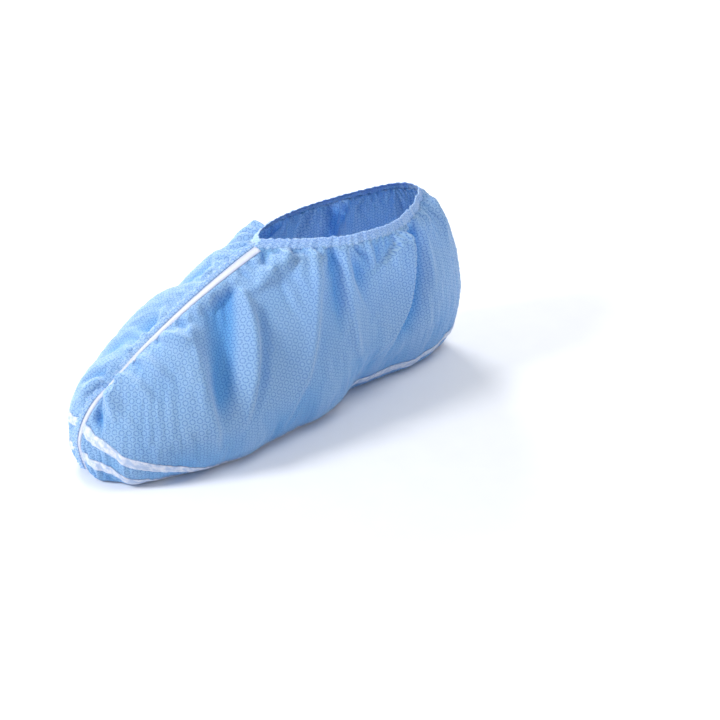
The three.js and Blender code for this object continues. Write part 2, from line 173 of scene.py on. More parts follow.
def top_line(along, side):
    """The cloth's upper edge: the instep seam, then the ankle opening."""
    seam_y = SEAM["y"][0] + (SEAM["y"][-1] - SEAM["y"][0]) * np.clip(along / NOTCH, 0, 1) ** SEAM_PACE
    seam = np.stack([np.zeros_like(along), seam_y, look_up(SEAM, "y", "z", seam_y)], -1)
    return np.where((along <= NOTCH)[..., None], seam, opening_loop(RIM, along, side))


def cloth_form(along, down, side):
    """Points of the cloth without its folds; along and down are arrays of one shape."""
    wide_x, wide_y, share = widest_line(along)
    wide_z = look_up(SECTIONS, "share", "height", share)
    belly = look_up(SECTIONS, "share", "belly", share)
    wide = np.stack([wide_x, wide_y, wide_z], -1)
    edge = np.stack([*sole_edge(along), np.full_like(along, SOLE_Z)], -1)
    top = top_line(along, side)

    def quarter(turn, power):
        angle = np.clip(turn, 0, 1) * np.pi / 2
        ease = 2 / power
        return np.maximum(np.cos(angle), 0) ** ease, np.sin(angle) ** ease

    up, out = quarter(down / WIDEST, look_up(CROWN, "along", side, along))
    crown = top + (wide - top) * out[..., None]
    crown[..., 2] = wide_z + (top[..., 2] - wide_z) * up
    hold, drop = quarter((down - WIDEST) / (SOLE_EDGE - WIDEST), belly)
    lower = edge + (wide - edge) * hold[..., None]
    lower[..., 2] = wide_z + (SOLE_Z - wide_z) * drop
    inward = np.clip((down - SOLE_EDGE) / (1 - SOLE_EDGE), 0, 1)[..., None]
    spine_y = TOE_Y + SPINE_INSET + (LENGTH - 2 * SPINE_INSET) * share
    spine = np.stack([np.zeros_like(along), spine_y, np.full_like(along, SOLE_Z)], -1)
    sole = edge + (spine - edge) * inward
    down = down[..., None]
    point = np.where(down <= WIDEST, crown, np.where(down <= SOLE_EDGE, lower, sole))
    return point * (side, 1, 1)


def column_places():
    """The along value of every column of one side."""
    toe = NOTCH * np.linspace(0, 1, NOTCH_COLUMN + 1)
    heel = NOTCH + (1 - NOTCH) * np.linspace(0, 1, COLUMNS - NOTCH_COLUMN + 1)
    return np.concatenate([toe, heel[1:]])


def row_places(along, side):
    """The down value of every row of one column, even along the cloth down to the sole."""
    down = np.linspace(0, SOLE_EDGE, SAMPLES + 1)
    path = cloth_form(np.full_like(down, along), down, side)
    run = np.concatenate([[0], np.cumsum(np.linalg.norm(np.diff(path, axis=0), axis=1))])
    wanted = run[-1] * np.linspace(0, 1, SIDE_ROWS + 1) ** ROW_CROWDING
    sole = np.linspace(SOLE_EDGE, 1, SOLE_ROWS + 1)
    return np.concatenate([np.interp(wanted, run, down), sole[1:]])


def cloth_grid():
    """Both sides as one grid, heel (-X side) to toe to heel (+X side), by top line to spine."""
    along = column_places()
    places = []
    for side in (-1, 1):
        down = np.array([row_places(a, side) for a in along])
        places.append((side, np.repeat(along[:, None], ROWS + 1, 1), down))
    (minus, a0, d0), (plus, a1, d1) = places
    points = np.concatenate([cloth_form(a0, d0, minus)[::-1], cloth_form(a1, d1, plus)[1:]])
    alongs = np.concatenate([a0[::-1], a1[1:]])
    downs = np.concatenate([d0[::-1], d1[1:]])
    return points, alongs, downs


def grid_normals(points):
    """Outward unit normals of a grid of points."""
    across = np.gradient(points, axis=0)
    down = np.gradient(points, axis=1)
    normal = np.cross(down, across)
    return normal / np.maximum(np.linalg.norm(normal, axis=-1, keepdims=True), 1e-9)


# ---------------------------------------------------------------- folds and gathers, in mm

# Main folds: side, three [along, down] points, the half widths towards the toe and the heel,
# the height of the ridge (negative for a valley), and the power of its section: under 2 is
# creased, over 2 is a trough with steep edges
FOLDS = [
    (1, (0.366, 0.05), (0.341, 0.25), (0.316, 0.50), 15, 12, -9.5, 2.2),
    (1, (0.270, 0.10), (0.294, 0.31), (0.312, 0.58), 16, 5, 4.6, 1.5),
    (1, (0.392, 0.10), (0.392, 0.29), (0.342, 0.54), 8, 4.5, 5.6, 1.6),
    (1, (0.497, 0.01), (0.482, 0.135), (0.385, 0.15), 9, 3.5, 5.4, 1.5),
    (1, (0.480, 0.01), (0.462, 0.08), (0.425, 0.10), 5, 5, -3.6, 2.0),
    (1, (0.418, 0.19), (0.400, 0.34), (0.370, 0.48), 3.5, 5, -2.6, 1.8),
    (1, (0.545, 0.01), (0.512, 0.23), (0.425, 0.60), 24, 4.5, 6.0, 1.4),
    (1, (0.570, 0.01), (0.550, 0.18), (0.530, 0.40), 7, 6, -4.6, 1.9),
    (1, (0.590, 0.02), (0.556, 0.32), (0.575, 0.56), 5, 9, 3.0, 1.5),
    (1, (0.607, 0.01), (0.582, 0.17), (0.585, 0.36), 5, 9, -4.2, 1.9),
    (1, (0.684, 0.02), (0.676, 0.29), (0.598, 0.58), 22, 4, 9.0, 1.5),
    (1, (0.728, 0.02), (0.708, 0.30), (0.630, 0.60), 8, 16, -9.0, 2.0),
    (1, (0.790, 0.02), (0.750, 0.23), (0.742, 0.44), 9, 6, 4.0, 1.5),
    (1, (0.940, 0.02), (0.850, 0.15), (0.825, 0.34), 7, 9, 3.6, 1.5),
    (1, (0.062, 0.09), (0.143, 0.20), (0.200, 0.30), 5, 3.5, 3.8, 1.5),
    (1, (0.133, 0.06), (0.185, 0.17), (0.240, 0.27), 5, 3.5, 4.0, 1.5),
    (1, (0.200, 0.05), (0.245, 0.14), (0.290, 0.19), 6, 3.5, 3.4, 1.5),
    (1, (0.012, 0.12), (0.035, 0.24), (0.080, 0.38), 5, 6, -5.5, 2.0),
    (1, (0.035, 0.06), (0.078, 0.20), (0.115, 0.36), 6, 9, 4.4, 1.7),
    (-1, (0.390, 0.06), (0.365, 0.25), (0.330, 0.46), 10, 9, -6.0, 2.2),
    (-1, (0.430, 0.08), (0.415, 0.24), (0.385, 0.48), 14, 5, 1.6, 1.5),
    (-1, (0.330, 0.12), (0.310, 0.28), (0.290, 0.48), 10, 5, 1.0, 1.5),
    (-1, (0.215, 0.03), (0.205, 0.18), (0.190, 0.38), 17, 18, -6.0, 2.0),
    (-1, (0.540, 0.02), (0.500, 0.22), (0.450, 0.54), 20, 5, 5.0, 1.5),
    (-1, (0.580, 0.02), (0.545, 0.20), (0.510, 0.44), 5, 8, -4.2, 1.9),
    (-1, (0.660, 0.02), (0.620, 0.25), (0.560, 0.54), 20, 5, 6.4, 1.6),
    (-1, (0.710, 0.02), (0.670, 0.26), (0.620, 0.54), 7, 13, -6.4, 2.0),
    (-1, (0.770, 0.02), (0.735, 0.24), (0.700, 0.46), 12, 6, 4.2, 1.5),
    (-1, (0.890, 0.02), (0.850, 0.16), (0.825, 0.36), 8, 9, 3.6, 1.5),
    (-1, (0.025, 0.08), (0.050, 0.20), (0.080, 0.36), 9, 7, 4.0, 1.7),
    (-1, (0.075, 0.12), (0.105, 0.22), (0.135, 0.36), 5, 5, -3.0, 1.9),
]

# Steps along a fold, the shares of its length that it fades in and out over, and how much
# narrower its far end is
FOLD_STEPS = 16
FOLD_ENDS = (0.14, 0.36)
FOLD_TAPER = 0.5


def nearest_on_path(points, path):
    """Distance from each point to a path, and how far along the path, in steps, that is."""
    best = np.full(len(points), 1e9)
    share = np.zeros(len(points))
    for k in range(len(path) - 1):
        leg = path[k + 1] - path[k]
        s = np.clip((points - path[k]) @ leg / max(leg @ leg, 1e-12), 0, 1)
        distance = np.linalg.norm(points - path[k] - s[:, None] * leg, axis=1)
        closer = distance < best
        best[closer] = distance[closer]
        share[closer] = (k + s)[closer]
    return best, share


def fold_heights(points, alongs):
    """How far the main folds lift every point of the grid along its normal."""
    heights = np.zeros(alongs.shape)
    s = np.linspace(0, 1, FOLD_STEPS + 1)
    start_fade, end_fade = FOLD_ENDS
    for side, start, middle, end, toe_half, heel_half, height, power in FOLDS:
        start, middle, end = np.array(start), np.array(middle), np.array(end)
        bend = 2 * middle - (start + end) / 2
        line = np.outer((1 - s) ** 2, start) + np.outer(2 * s * (1 - s), bend) + np.outer(s**2, end)
        path = cloth_form(line[:, 0], line[:, 1], side)
        part = slice(COLUMNS, None) if side == 1 else slice(0, COLUMNS + 1)
        reach = 2.4 * max(toe_half, heel_half)
        flat = points[part].reshape(-1, 3)
        low, high = path.min(0) - reach, path.max(0) + reach
        near = np.nonzero(((flat > low) & (flat < high)).all(1))[0]
        distance, where = nearest_on_path(flat[near], path)
        line_along = np.interp(where, np.arange(FOLD_STEPS + 1), line[:, 0])
        toeward = alongs[part].reshape(-1)[near] < line_along
        where = where / FOLD_STEPS
        half = np.where(toeward, toe_half, heel_half) * (1 - FOLD_TAPER * where**2)
        ends = smooth_step(where, 0, start_fade) * smooth_step(1 - where, 0, end_fade)
        lift = np.zeros(len(flat))
        lift[near] = height * np.exp(-((distance / half) ** power)) * ends
        heights[part] += lift.reshape(heights[part].shape)
    return heights


def pleats_along(length, spacing, reach, height, width, seed):
    """Small pleats that start along a rail: place, reach, lean, height and half width."""
    random = np.random.default_rng(seed)
    rows = []
    place = random.uniform(0, spacing[0])
    while place < length - spacing[0] / 2:
        sign = 1 if random.random() < 0.6 else -1
        rows.append((place, random.uniform(*reach), random.uniform(-0.3, 0.3),
                     sign * random.uniform(*height), random.uniform(*width)))
        place += random.uniform(*spacing)
    return rows


def pleat_lift(rows, at, distance):
    """How far the pleats lift the cloth at a place along their rail and a distance from it."""
    lift = np.zeros(np.broadcast(at, distance).shape)
    for place, reach, lean, height, half in rows:
        spread = half * (1 + 1.3 * distance / reach)
        fade = np.exp(-((distance / reach) ** 2))
        lift += height * fade * np.exp(-(((at - place - lean * distance) / spread) ** 2))
    return lift


def beside(points, rail, furthest):
    """For points near a rail: which they are, how far from it, and where along it."""
    run = np.concatenate([[0], np.cumsum(np.linalg.norm(np.diff(rail, axis=0), axis=1))])
    flat = points.reshape(-1, 3)
    low, high = rail.min(0) - furthest, rail.max(0) + furthest
    near = np.nonzero(((flat > low) & (flat < high)).all(1))[0]
    distance, where = nearest_on_path(flat[near], rail)
    return near, distance, np.interp(where, np.arange(len(rail)), run)


def soft_noise(shape, scale, seed):
    """Smooth noise over a grid, from -1 to 1, with lumps about scale cells wide."""
    random = np.random.default_rng(seed)
    coarse = random.uniform(-1, 1, [int(n / k) + 3 for n, k in zip(shape, scale)])
    for axis, (n, k) in enumerate(zip(shape, scale)):
        at = np.arange(n) / k
        low = at.astype(int)
        s = at - low
        s = s * s * (3 - 2 * s)
        a, b = np.take(coarse, low, axis), np.take(coarse, low + 1, axis)
        s = s[:, None] if axis == 0 else s[None, :]
        coarse = a + (b - a) * s
    return coarse


def weld(points):
    """Brings together what both sides share: the instep seam, the heel and the sole's middle."""
    heel = (points[0] + points[-1]) / 2
    points[0], points[-1] = heel, heel
    seam = slice(COLUMNS - NOTCH_COLUMN, COLUMNS + NOTCH_COLUMN + 1)
    points[seam, 0] = (points[seam, 0] + points[seam, 0][::-1]) / 2
    points[:, -1] = (points[:, -1] + points[::-1, -1]) / 2


def relax(points, free, slack_along, slack_down, steps):
    """Lets the cloth settle: every thread keeps its own length, which is a little more than
    the way it has to go, so the cloth buckles into folds, and it resists sharp bends."""
    start = points.copy()
    free = free[..., None]
    threads = []

    def thread(a, b, slack, give):
        length = np.linalg.norm(start[b] - start[a], axis=-1, keepdims=True)
        threads.append((a, b, length * (1 + slack[a][..., None]), give))

    whole = slice(None)
    for first in (0, 1):
        n = (points.shape[0] - first) // 2 * 2 + first
        m = (points.shape[1] - first) // 2 * 2 + first
        thread((slice(first, n, 2), whole), (slice(first + 1, n, 2), whole), slack_along, 1)
        thread((whole, slice(first, m, 2)), (whole, slice(first + 1, m, 2)), slack_down, 1)
    bias = (slack_along + slack_down) / 2
    thread((slice(0, -1), slice(0, -1)), (slice(1, None), slice(1, None)), bias, 0.15)
    thread((slice(1, None), slice(0, -1)), (slice(0, -1), slice(1, None)), bias, 0.15)
    for gap, give in ((2, 0.10), (3, 0.08)):
        thread((slice(0, -gap), whole), (slice(gap, None), whole), slack_along, give)
        thread((whole, slice(0, -gap)), (whole, slice(gap, None)), slack_down, give)
    for _ in range(steps):
        for a, b, length, give in threads:
            way = points[b] - points[a]
            now = np.linalg.norm(way, axis=-1, keepdims=True)
            move = way * (0.5 * give * (1 - length / np.maximum(now, 1e-6)))
            points[a] += move * free[a]
            points[b] -= move * free[b]
        points += 0.012 * (start - points)
        weld(points)
    return points


# How often the threads are eased while the cloth settles
SETTLING_STEPS = 200


def seam_path():
    """The instep seam from the notch to the toe, then down the toe to the sole's edge."""
    along = np.linspace(NOTCH, 0, 120)
    ridge = top_line(along, 1)
    down = np.linspace(0, SEAM_END, 80)
    toe = cloth_form(np.zeros_like(down), down, 1)
    return np.concatenate([ridge, toe[1:]])


def rim_path(loop=RIM):
    """The ankle opening's loop, from the notch along +X to the heel and back along -X."""
    along = np.linspace(NOTCH, 1, 140)
    plus = opening_loop(loop, along, 1)
    minus = opening_loop(loop, along, -1) * (-1, 1, 1)
    return np.concatenate([plus, minus[-2::-1]])


# Painted shade on the low sides, counted as that much valley depth, and the small pleats drawn in by
# the rim and the seam
BELLY_PAINTED_SHADE = 3.1
RIM_LENGTH = np.linalg.norm(np.diff(rim_path(), axis=0), axis=1).sum()
SEAM_LENGTH = np.linalg.norm(np.diff(seam_path(), axis=0), axis=1).sum()
RIM_PLEATS = pleats_along(RIM_LENGTH, (3.6, 7.2), (8, 26), (0.5, 1.5), (1.2, 2.2), SEED)
SEAM_PUCKERS = {
    side: pleats_along(SEAM_LENGTH, (7, 15), (10, 30), (0.8, 2.2), (1.6, 3.0), SEED + 2 + side)
    for side in (-1, 1)
}
PLAIN_BESIDE_SEAM = {1: {"toe": 2.2, "instep": 7.5}, -1: {"toe": 2.2, "instep": 3.5}}


def blurred(values, passes):
    """Values over the cloth's grid, spread to their neighbours once a pass."""
    for _ in range(passes):
        padded = np.pad(values, 1, mode="edge")
        across = (padded[:-2, 1:-1] + padded[2:, 1:-1]) / 4
        down = (padded[1:-1, :-2] + padded[1:-1, 2:]) / 4
        values = across + down
    return values


def outwards(path):
    """Level directions out of the ankle opening, along its loop."""
    ahead = np.roll(path, -1, 0) - np.roll(path, 1, 0)
    across = np.stack([ahead[:, 1], -ahead[:, 0], 0 * ahead[:, 0]], -1)
    return across / np.linalg.norm(across, axis=1, keepdims=True)


def folded_cloth():
    """The cloth with its folds, gathers and settling: its points, its points before folding,
    and its painted shade, deeper in the valleys and on the low sides."""
    points, alongs, downs = cloth_grid()
    form = points.copy()
    normals = grid_normals(form)
    seam, rim = seam_path()[::3], rim_path()
    sides = np.where(np.arange(len(form)) >= COLUMNS, 1, -1)[:, None]
    climb = np.clip(form[..., 2] / SEAM["z"][-1], 0, 1)
    plus, minus = (plain["toe"] * (1 - climb) + plain["instep"] * climb
                   for plain in (PLAIN_BESIDE_SEAM[1], PLAIN_BESIDE_SEAM[-1]))
    plain = np.where(sides > 0, plus, minus)
    sole = smooth_step(SOLE_EDGE - downs, 0.02, 0.14)

    from_seam = np.full(alongs.shape, 99.0)
    near, distance, at = beside(form, seam, 60)
    from_seam.flat[near] = distance
    puckers = np.zeros(alongs.shape)
    where = np.repeat(sides, ROWS + 1, 1).ravel()[near]
    puckers.flat[near] = np.where(where > 0, pleat_lift(SEAM_PUCKERS[1], at, distance),
                                  pleat_lift(SEAM_PUCKERS[-1], at, distance))
    puckers *= smooth_step(from_seam, plain, plain + 5)

    from_rim = np.full(alongs.shape, 99.0)
    gathers = np.zeros(alongs.shape)
    near, distance, at = beside(form, rim, 42)
    from_rim.flat[near] = distance
    gathers.flat[near] = pleat_lift(RIM_PLEATS, at, distance)
    flat = normals.reshape(-1, 3)
    run = np.linspace(0, RIM_LENGTH, len(rim))
    level = outwards(rim)
    level = np.stack([np.interp(at, run, level[:, k]) for k in range(3)], -1)
    blend = smooth_step(distance, 0, 10)[:, None]
    flat[near] = level * (1 - blend) + flat[near] * blend

    folds = fold_heights(form, alongs)
    folds *= smooth_step(from_seam, plain, plain + 4 + 8 * climb) * smooth_step(from_rim, 0, 8)
    noise = 0.5 * soft_noise(alongs.shape, (9, 14), SEED + 5)
    noise += 0.3 * soft_noise(alongs.shape, (4, 7), SEED + 6)
    noise *= smooth_step(from_seam, plain, plain + 4) * smooth_step(from_rim, 0, 8)
    sag = smooth_step(downs, 0.42, 0.56) * smooth_step(SOLE_EDGE - downs, 0, 0.06)
    waves = sag * 1.5 * soft_noise(alongs.shape, (13, 30), SEED + 8)
    heights = (folds + puckers + gathers + noise) * sole + waves
    points += normals * heights[..., None]
    weld(points)
    free = smooth_step(SOLE_EDGE - downs, 0.0, 0.03) * np.where(form[..., 2] > 2, 1.0, 0.0)
    free *= smooth_step(from_seam, plain - 1, plain + 3)
    free[:, 0] = 0
    near_rim = 1 - smooth_step(from_rim, 0, 32)
    near_seam = 1 - smooth_step(from_seam, 0, 26)
    along_slack = 0.045 + 0.20 * near_rim + np.where(sides > 0, 0.12, 0.05) * near_seam
    down_slack = 0.02 + 0.03 * near_seam
    points = relax(points, free, along_slack, down_slack, SETTLING_STEPS)
    points[..., 2] = np.maximum(points[..., 2], SOLE_Z)
    lift = ((points - form) * normals).sum(-1)
    # Painted shade: more where the cloth lies lower than the cloth round it, and more on the low sides
    painted_shade = blurred(lift, 160) - blurred(lift, 4) + BELLY_PAINTED_SHADE * smooth_step(downs, 0.40, 0.66)
    return points, form, painted_shade


# ---------------------------------------------------------------- meshes

# The coarse net that the cloth is laid flat with, and how often its threads are eased
FLAT_COLUMNS = 76
FLAT_ROWS = 28
FLAT_STEPS = 900

# Widths of the tape and of the frill beside the instep seam, and how far the frill leans
SEAM_LEG = {"tape": {"instep": 7.0, "toe": 2.6}, "frill": {"instep": 4.0, "toe": 3.0}}
FRILL_LEAN = 62
TAPE = {"across": (0.05, 0.2, 0.4, 0.6, 0.8, 1.0), "thickness": 0.35, "lift": 0.2}
STITCH = {"rows": (0.22, 0.8), "pitch": 2.6, "length_share": 0.78, "thread": 0.32, "lift": 0.6}
TREAD = {"across": (0, 0.08, 0.3, 0.5, 0.7, 0.92, 1), "thickness": 0.58, "lift": 0.12,
         "first_column": 3, "last_columns": 2}

# Half the hem's thickness, how far down over the cloth it starts as a share of its height,
# how many crimps it has all round, and the cloth's own thickness
HEM_HALF = 0.75
HEM_LAP = -0.25
HEM_CRIMPS = 84
CLOTH_THICKNESS = 0.35

hem_low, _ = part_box("opening_hem")
tread_plus, tread_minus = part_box("tread_inner_plus"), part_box("tread_inner_minus")
TO_FRAME = np.array([
    (tread_plus[1][0] + tread_minus[0][0]) / 2,
    hem_low[1] - (RIM["front"] - HEM_THICKNESS / 2) * MM,
    0,
])


def to_frame(points):
    """Points in the frame, in metres."""
    return np.asarray(points) * MM + TO_FRAME


def make_object(name, points, faces, uvs=None):
    """A smooth mesh of points in the cover's millimetres; uvs are one pair per face corner."""
    mesh = bpy.data.meshes.new(name)
    mesh.from_pydata(to_frame(points).tolist(), [], [list(f) for f in faces])
    if uvs is not None:
        layer = mesh.uv_layers.new(name="cut")
        layer.data.foreach_set("uv", np.asarray(uvs, float).ravel())
    mesh.shade_smooth()
    mesh.validate()
    obj = bpy.data.objects.new(name, mesh)
    bpy.context.scene.collection.objects.link(obj)
    return obj


def cloth_numbers():
    """The vertex number of every place of the grid, the same for places that are welded."""
    wide, tall = 2 * COLUMNS + 1, ROWS + 1
    number = np.arange(wide * tall).reshape(wide, tall)
    number[-1] = number[0]
    mirror = number[::-1]
    for column in range(COLUMNS + 1, wide):
        number[column, -1] = mirror[column, -1]
        if column <= COLUMNS + NOTCH_COLUMN:
            number[column, 0] = mirror[column, 0]
    return number


def laid_flat(form):
    """Flat coordinates of the cloth in mm. A coarse net of each side's panel is spread out on
    a table until its threads have the lengths that they have on the cover."""
    flats = []
    for part in (slice(0, COLUMNS + 1), slice(COLUMNS, None)):
        panel = form[part]
        columns = np.linspace(0, COLUMNS, FLAT_COLUMNS).round().astype(int)
        rows = np.linspace(0, ROWS, FLAT_ROWS).round().astype(int)
        net = panel[np.ix_(columns, rows)]
        middle = len(rows) // 2
        reach = np.linalg.norm(np.diff(net, axis=0), axis=-1)[:, middle]
        u = np.concatenate([[0], np.cumsum(reach)])
        climb = np.linalg.norm(np.diff(net, axis=1), axis=-1)[:, ::-1]
        v = np.concatenate([np.zeros((len(columns), 1)), np.cumsum(climb, 1)], 1)[:, ::-1]
        flat = np.stack([np.repeat(u[:, None], len(rows), 1), v], -1)
        whole, less, more = slice(None), slice(0, -1), slice(1, None)
        threads = [((less, whole), (more, whole)), ((whole, less), (whole, more)),
                   ((less, less), (more, more)), ((more, less), (less, more))]
        lengths = [np.linalg.norm(net[b] - net[a], axis=-1, keepdims=True) for a, b in threads]
        for _ in range(FLAT_STEPS):
            pull = np.zeros_like(flat)
            for (a, b), length in zip(threads, lengths):
                way = flat[b] - flat[a]
                now = np.linalg.norm(way, axis=-1, keepdims=True)
                move = way * (0.15 * (1 - length / np.maximum(now, 1e-6)))
                pull[a] += move
                pull[b] -= move
            flat += pull
        across = np.stack([[np.interp(np.arange(COLUMNS + 1), columns, flat[:, j, k])
                            for j in range(len(rows))] for k in range(2)])
        fine = np.stack([[np.interp(np.arange(ROWS + 1), rows, across[k, :, i])
                          for i in range(COLUMNS + 1)] for k in range(2)], -1)
        flats.append(fine)
    return flats


def build_cloth(points, form, painted_shade):
    """The whole cover as one sheet, with its flat coordinates and its painted shade, which is deepest
    in the valleys and on the low sides.
    """
    number = cloth_numbers()
    a, b = number[:-1, :-1], number[1:, :-1]
    c, d = number[1:, 1:], number[:-1, 1:]
    quads = np.stack([a, d, c, b], -1).reshape(-1, 4)
    corners = np.concatenate([
        np.stack([flat[:-1, :-1], flat[:-1, 1:], flat[1:, 1:], flat[1:, :-1]], 2)
        for flat in laid_flat(form)
    ])
    used, renumbered = np.unique(quads, return_inverse=True)
    renumbered = renumbered.reshape(quads.shape)
    obj = make_object("cover_cloth", points.reshape(-1, 3)[used], renumbered, corners.reshape(-1, 2))
    # Painted shade, kept on the sheet for its finish to darken the blue with
    depth = obj.data.attributes.new("painted_shade", "FLOAT", "POINT")
    depth.data.foreach_set("value", painted_shade.reshape(-1)[used])
    return obj


class ClothFace:
    """The outer face of the finished cloth, to lay strips and stitches on."""

    def __init__(self, points):
        wide, tall = points.shape[:2]
        number = np.arange(wide * tall).reshape(wide, tall)
        a, b, c, d = number[:-1, :-1], number[1:, :-1], number[1:, 1:], number[:-1, 1:]
        quads = np.stack([a, d, c, b], -1).reshape(-1, 4)
        self.tree = BVHTree.FromPolygons(points.reshape(-1, 3).tolist(), quads.tolist())

    def nearest(self, point):
        place, normal, _, _ = self.tree.find_nearest(Vector(point))
        return np.array(place), np.array(normal)


def even_path(path, spacing):
    """The path again, with evenly spaced points."""
    run = np.concatenate([[0], np.cumsum(np.linalg.norm(np.diff(path, axis=0), axis=1))])
    count = max(int(round(run[-1] / spacing)), 2)
    at = np.linspace(0, run[-1], count + 1)
    return np.stack([np.interp(at, run, path[:, k]) for k in range(3)], -1), at


def swept(name, sections, at, closed=False):
    """A mesh through sections of one length each; at is the way along it in mm, for the cut."""
    sections = np.asarray(sections)
    count, around = sections.shape[:2]
    faces, cut = [], []
    girth = np.concatenate([[0], np.cumsum(np.linalg.norm(
        np.diff(np.concatenate([sections[0], sections[0][:1]]), axis=0), axis=1))])
    pace = at[1] - at[0]
    for k in range(count if closed else count - 1):
        n = (k + 1) % count
        for j in range(around):
            m = (j + 1) % around
            faces.append((k * around + j, k * around + m, n * around + m, n * around + j))
            here, ahead = at[k], at[k] + pace
            cut += [(here, girth[j]), (here, girth[j + 1]), (ahead, girth[j + 1]), (ahead, girth[j])]
    if not closed:
        last = (count - 1) * around
        for ring in (tuple(reversed(range(around))), tuple(last + j for j in range(around))):
            faces.append(ring)
            cut += [(0, 0)] * around
    obj = make_object(name, sections.reshape(-1, 3), faces, cut)
    set_outward(obj)
    return obj


def set_outward(obj):
    """Turns every face to the outside."""
    mesh = bmesh.new()
    mesh.from_mesh(obj.data)
    bmesh.ops.recalc_face_normals(mesh, faces=mesh.faces)
    mesh.to_mesh(obj.data)
    mesh.free()


def lay_strip(name, face, at, rails, thickness, lift):
    """A flat strip on the cloth. rails holds, for each point along it, the places across
    the strip; every place is put on the cloth and raised off it by the lift."""
    sections = []
    for places in rails:
        on, up = zip(*(face.nearest(p) for p in places))
        on, up = np.array(on), np.array(up)
        normal = up.mean(0) / np.linalg.norm(up.mean(0))
        low = on + normal * lift
        high = on + normal * (lift + thickness)
        high[0] -= (high[0] - high[1]) * 0.35
        high[-1] -= (high[-1] - high[-2]) * 0.35
        sections.append(np.concatenate([low, high[::-1]]))
    sections = np.array(sections)
    for _ in range(2):
        sections[1:-1] = (sections[:-2] + 2 * sections[1:-1] + sections[2:]) / 4
    return swept(name, sections, at)


def seam_widths(strip, path):
    """The width of a strip all along the seam, wider up the instep than at the toe."""
    climb = np.clip(path[:, 2] / SEAM["z"][-1], 0, 1)
    return strip["toe"] + (strip["instep"] - strip["toe"]) * climb


def tape_rails(places):
    """Places across the tape, all along the instep seam."""
    path, at = even_path(seam_path(), 1.2)
    rails = [[point + np.array([wide * share, 0, 0]) for share in places]
             for point, wide in zip(path, seam_widths(SEAM_LEG["tape"], path))]
    return path, at, rails


def build_tape(face):
    """The white tape sewn down one side of the instep seam."""
    _, at, rails = tape_rails(TAPE["across"])
    return lay_strip("seam_tape_strip", face, at, rails, TAPE["thickness"], TAPE["lift"])


def stitch(start, end, normal, thickness):
    """One stitch: a short thread that rises from the cloth and dips back into it."""
    way = end - start
    side = np.cross(way, normal)
    side /= max(np.linalg.norm(side), 1e-9)
    sections = []
    for s in (0, 0.25, 0.5, 0.75, 1):
        middle = start + way * s + normal * thickness * (0.9 * math.sin(math.pi * s) - 0.2)
        turns = [math.radians(60 * k) for k in range(6)]
        sections.append([middle + thickness / 2 * (side * math.cos(t) + normal * math.sin(t))
                         for t in turns])
    return np.array(sections)


def join_stitches(name, stitches):
    """All the stitches as one object, each with closed ends."""
    points, faces, cut = [], [], []
    for sections in stitches:
        base = len(points)
        count, around = sections.shape[:2]
        points += sections.reshape(-1, 3).tolist()
        for k in range(count - 1):
            for j in range(around):
                m = (j + 1) % around
                faces.append((base + k * around + j, base + k * around + m,
                              base + (k + 1) * around + m, base + (k + 1) * around + j))
                cut += [(k, j), (k, j + 1), (k + 1, j + 1), (k + 1, j)]
        for ring in (tuple(base + j for j in reversed(range(around))),
                     tuple(base + (count - 1) * around + j for j in range(around))):
            faces.append(ring)
            cut += [(0, 0)] * around
    obj = make_object(name, points, faces, cut)
    set_outward(obj)
    return obj


def build_tape_stitches(face):
    """Two rows of stitches that hold the tape."""
    path, _, _ = tape_rails(())
    wide = seam_widths(SEAM_LEG["tape"], path)
    stitches = []
    for share in STITCH["rows"]:
        line = path + np.stack([wide * share, 0 * wide, 0 * wide], -1)
        line, _ = even_path(line, STITCH["pitch"])
        for here, ahead in zip(line, line[1:]):
            a, normal_a = face.nearest(here)
            b, normal_b = face.nearest(here + STITCH["length_share"] * (ahead - here))
            normal = (normal_a + normal_b) / np.linalg.norm(normal_a + normal_b)
            lift = normal * STITCH["lift"]
            stitches.append(stitch(a + lift, b + lift, normal, STITCH["thread"]))
    return join_stitches("tape_stitching", stitches)


def build_frill(face):
    """The seam allowance, overlocked and frilled, leaning over on the other side."""
    random = np.random.default_rng(SEED + 7)
    path, at = even_path(seam_path(), 0.45)
    wide = seam_widths(SEAM_LEG["frill"], path)
    waves = sum(np.sin(2 * np.pi * at / length + random.uniform(0, 6)) * size
                for length, size in ((3.1, 0.45), (4.7, 0.45), (7.9, 0.30)))
    wide = wide * (1 + 0.10 * np.sin(2 * np.pi * at / 5.3 + 1) + 0.06 * np.sin(2 * np.pi * at / 2.3))
    sections = []
    out = np.array([-1.0, 0, 0])
    lean = math.radians(FRILL_LEAN)
    for k, point in enumerate(path):
        _, normal = face.nearest(point + out * 0.6)
        normal = np.array([normal[0] * 0.3, normal[1], normal[2]])
        normal /= np.linalg.norm(normal)
        line = []
        for share in (0, 0.2, 0.4, 0.6, 0.8, 1.0):
            reach = wide[k] * share
            ripple = waves[k] * share * 1.1
            rise = 0.3 + reach * math.cos(lean) + max(ripple, -0.9 * reach * math.cos(lean))
            line.append(point + out * (0.25 + reach * math.sin(lean)) + normal * rise)
        line = np.array(line)
        thick = normal * 0.4
        sections.append(np.concatenate([line, (line + thick)[::-1]]))
    return swept("seam_frill", sections, at)


def girth_rail(points, girth):
    """Where each column of the cloth reaches a distance from the sole's middle."""
    step = np.diff(points[:, ::-1], axis=1)
    lengths = np.cumsum(np.hypot(step[..., 0], step[..., 2]), 1)
    run = np.concatenate([np.zeros((len(points), 1)), lengths], 1)
    out = []
    for column, far, wanted in zip(points[:, ::-1], run, girth):
        out.append([np.interp(wanted, far, column[:, k]) for k in range(3)])
    return np.array(out)


